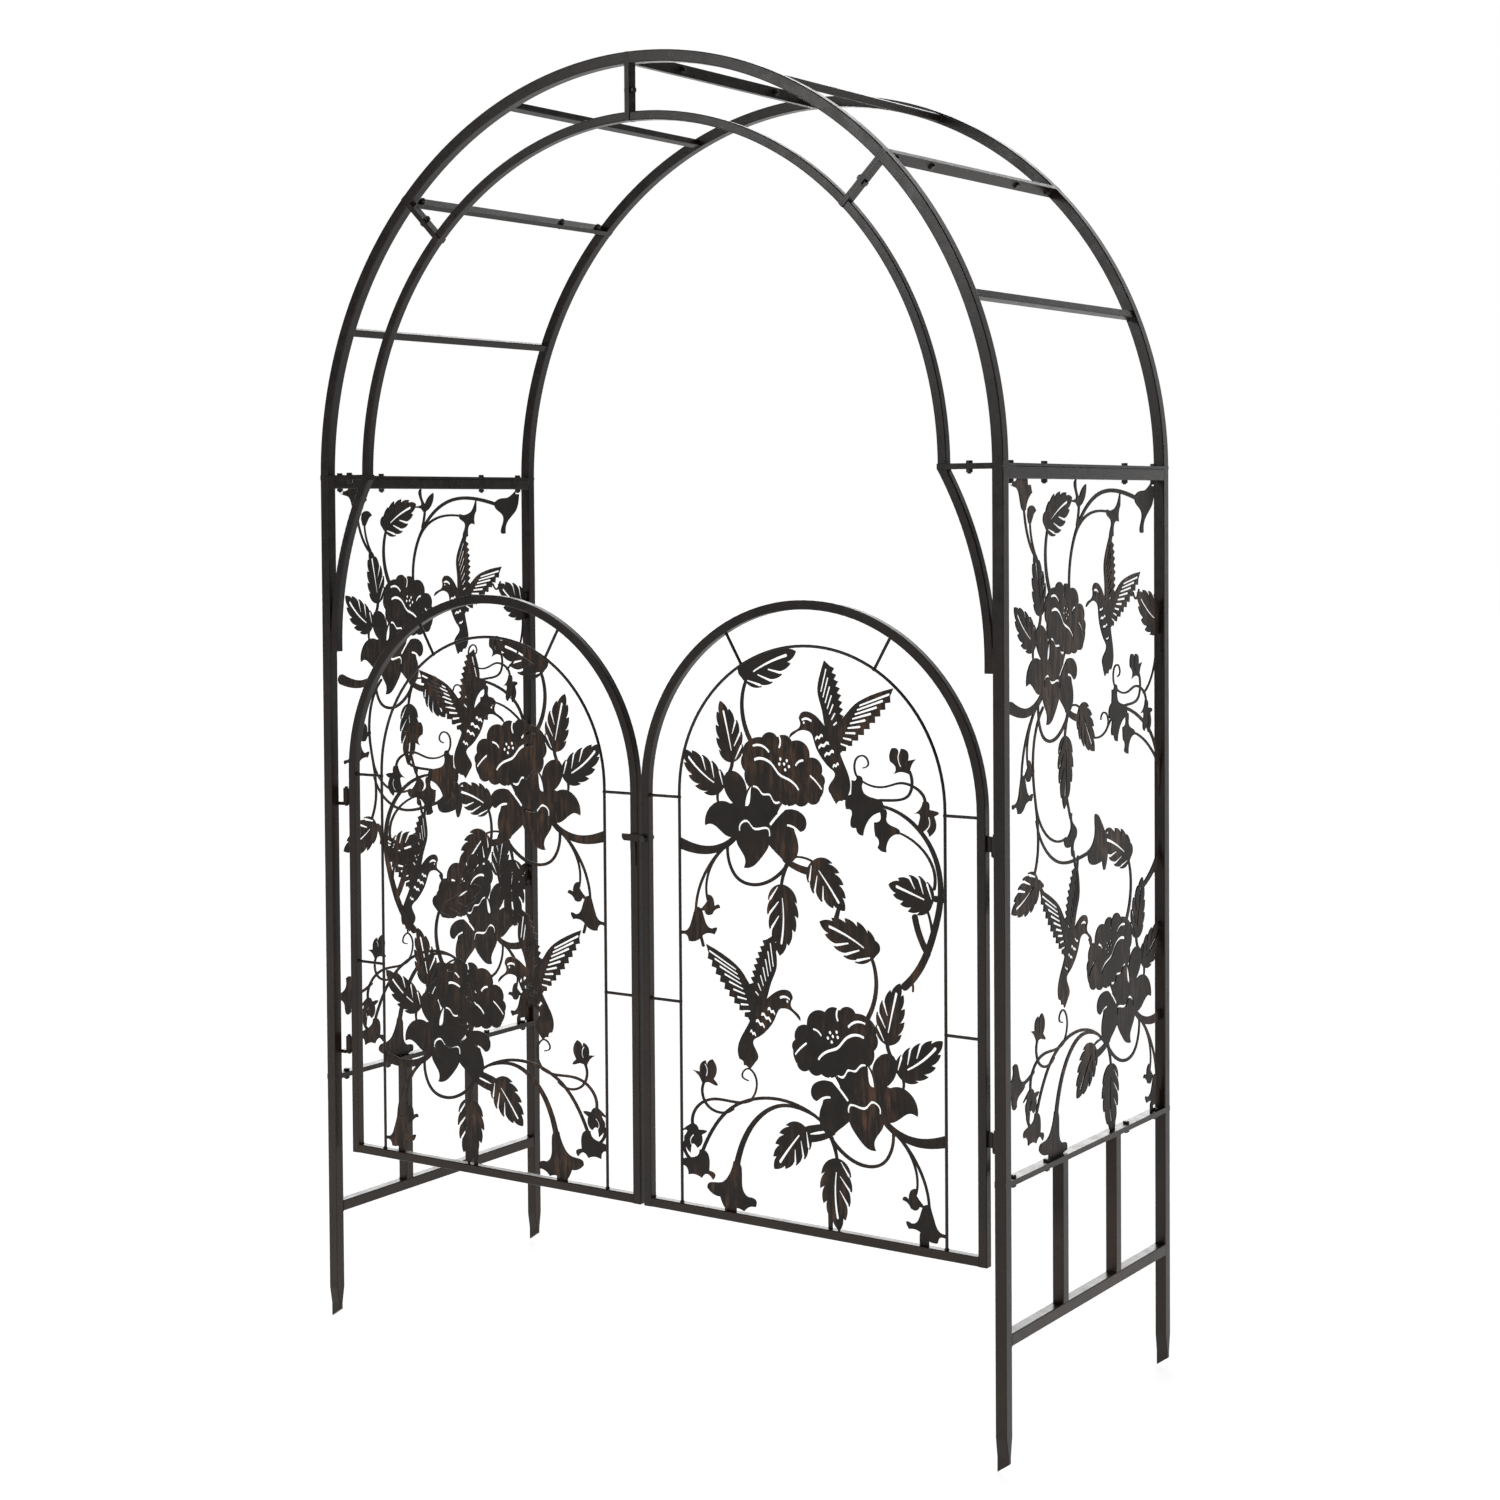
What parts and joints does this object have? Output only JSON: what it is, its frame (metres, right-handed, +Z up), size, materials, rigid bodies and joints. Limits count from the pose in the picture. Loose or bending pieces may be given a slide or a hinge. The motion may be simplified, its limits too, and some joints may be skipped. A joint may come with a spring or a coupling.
{
  "type": "metal trellis arch",
  "caption": "Garden trellis arch of square tube with two arched gates, scrollwork side panels and a latch; legs end in spikes that push into soil.",
  "frame": {"origin": "ground point under the middle of the arch, level with the spike tips", "axes": "+X across the gateway to the right leaf as seen from the front, -Y towards the front, +Z up"},
  "size_m": [1.361, 0.59, 2.1836],
  "materials": {
    "frame_coat": "satin powder coat",
    "scroll_bronze": "brushed antique bronze",
    "fastener": "blackened"
  },
  "bodies": {
    "frame": {"arch_back_left_high": "frame_coat", "arch_back_left_low": "frame_coat", "arch_back_right_high": "frame_coat", "arch_back_right_low": "frame_coat", "arch_bars_left_high": "frame_coat", "arch_bars_left_low": "frame_coat", "arch_bars_right_high": "frame_coat", "arch_bars_right_low": "frame_coat", "arch_inner_left_high": "frame_coat", "arch_inner_left_low": "frame_coat", "arch_inner_right_high": "frame_coat", "arch_inner_right_low": "frame_coat", "arch_outer_left_high": "frame_coat", "arch_outer_left_low": "frame_coat", "arch_outer_right_high": "frame_coat", "arch_outer_right_low": "frame_coat", "brace_left": "frame_coat", "brace_right": "frame_coat", "hinge_pins": "fastener", "joint_bolts": "fastener", "joint_nuts": "fastener", "leg_back_left": "frame_coat", "leg_back_right": "frame_coat", "leg_balusters_left": "frame_coat", "leg_balusters_right": "frame_coat", "leg_bar_left": "frame_coat", "leg_bar_right": "frame_coat", "leg_front_left": "frame_coat", "leg_front_right": "frame_coat", "leg_rail_left": "frame_coat", "leg_rail_right": "frame_coat", "link_bar_left": "frame_coat", "link_bar_right": "frame_coat", "post_back_left": "frame_coat", "post_back_right": "frame_coat", "post_front_left": "frame_coat", "post_front_right": "frame_coat", "rail_bolts": "fastener", "side_bar_left": "frame_coat", "side_bar_right": "frame_coat", "side_rail_left": "frame_coat", "side_rail_right": "frame_coat", "side_scroll_left": "scroll_bronze", "side_scroll_right": "scroll_bronze"},
    "left_gate": {"gate_frame_left": "frame_coat", "gate_rail_left": "frame_coat", "gate_rod_left": "frame_coat", "gate_scroll_left": "scroll_bronze", "gate_ties_left": "frame_coat", "hinge_eyes_left": "frame_coat", "latch_catch": "frame_coat"},
    "right_gate": {"gate_frame_right": "frame_coat", "gate_rail_right": "frame_coat", "gate_rod_right": "frame_coat", "gate_scroll_right": "scroll_bronze", "gate_ties_right": "frame_coat", "hinge_eyes_right": "frame_coat", "latch_pivot": "fastener"},
    "latch": {"latch_bar": "frame_coat"}
  },
  "joints": [
    {"name": "right_gate_hinge", "type": "hinge", "parent": "frame", "child": "right_gate", "pos_m": [0.65, -0.269, 0.7], "axis": [0, 0, 1], "range_deg": [0, 95]},
    {"name": "left_gate_hinge", "type": "hinge", "parent": "frame", "child": "left_gate", "pos_m": [-0.65, -0.269, 0.7], "axis": [0, 0, 1], "range_deg": [0, 90]},
    {"name": "latch_pivot_turn", "type": "hinge", "parent": "right_gate", "child": "latch", "pos_m": [0.011, -0.2798, 0.906], "axis": [0, 1, 0], "range_deg": [0, 95]}
  ]
}
